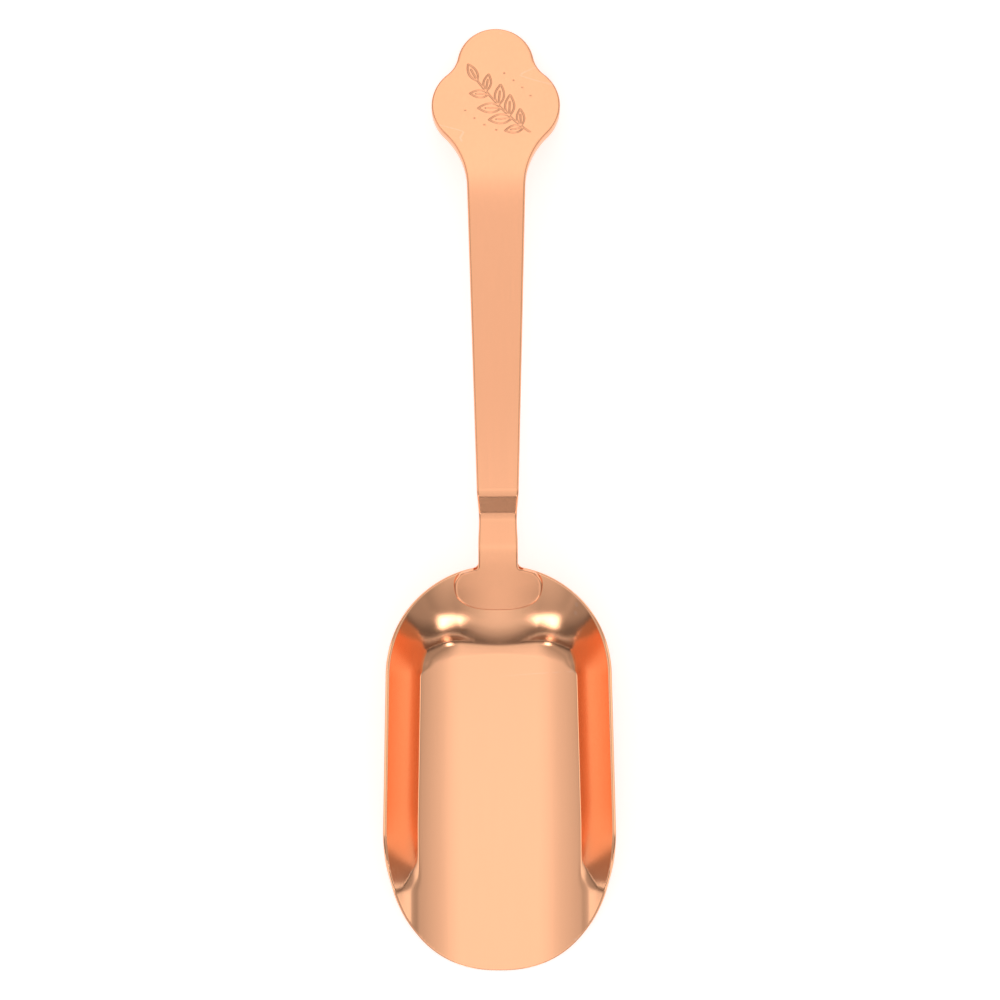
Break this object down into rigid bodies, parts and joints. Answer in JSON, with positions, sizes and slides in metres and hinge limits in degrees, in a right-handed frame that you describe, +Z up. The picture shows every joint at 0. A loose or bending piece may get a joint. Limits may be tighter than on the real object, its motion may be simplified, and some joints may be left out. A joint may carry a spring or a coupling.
{
  "type": "bar spoon",
  "caption": "Short scoop-shaped bar spoon: open-ended channel bowl of thin sheet, cranked neck, tapering arched handle with a lobed end.",
  "frame": {"origin": "middle of the length and of the width, on the surface that the spoon rests on", "axes": "+Z up, +Y along the spoon from the bowl's lip to the handle's end, +X to the right seen from above with the lip nearest"},
  "size_m": [0.0428, 0.175, 0.0158],
  "materials": {
    "bowl_metal": "polished rose-gold coating on thin stainless sheet",
    "handle_metal": "satin rose-gold coating on stainless strip",
    "braze_metal": "dressed brazing fillet under the same coating"
  },
  "bodies": {
    "root": {"bowl": "bowl_metal", "handle": "handle_metal", "braze_left": "braze_metal", "braze_right": "braze_metal", "braze_under": "braze_metal"}
  },
  "joints": []
}
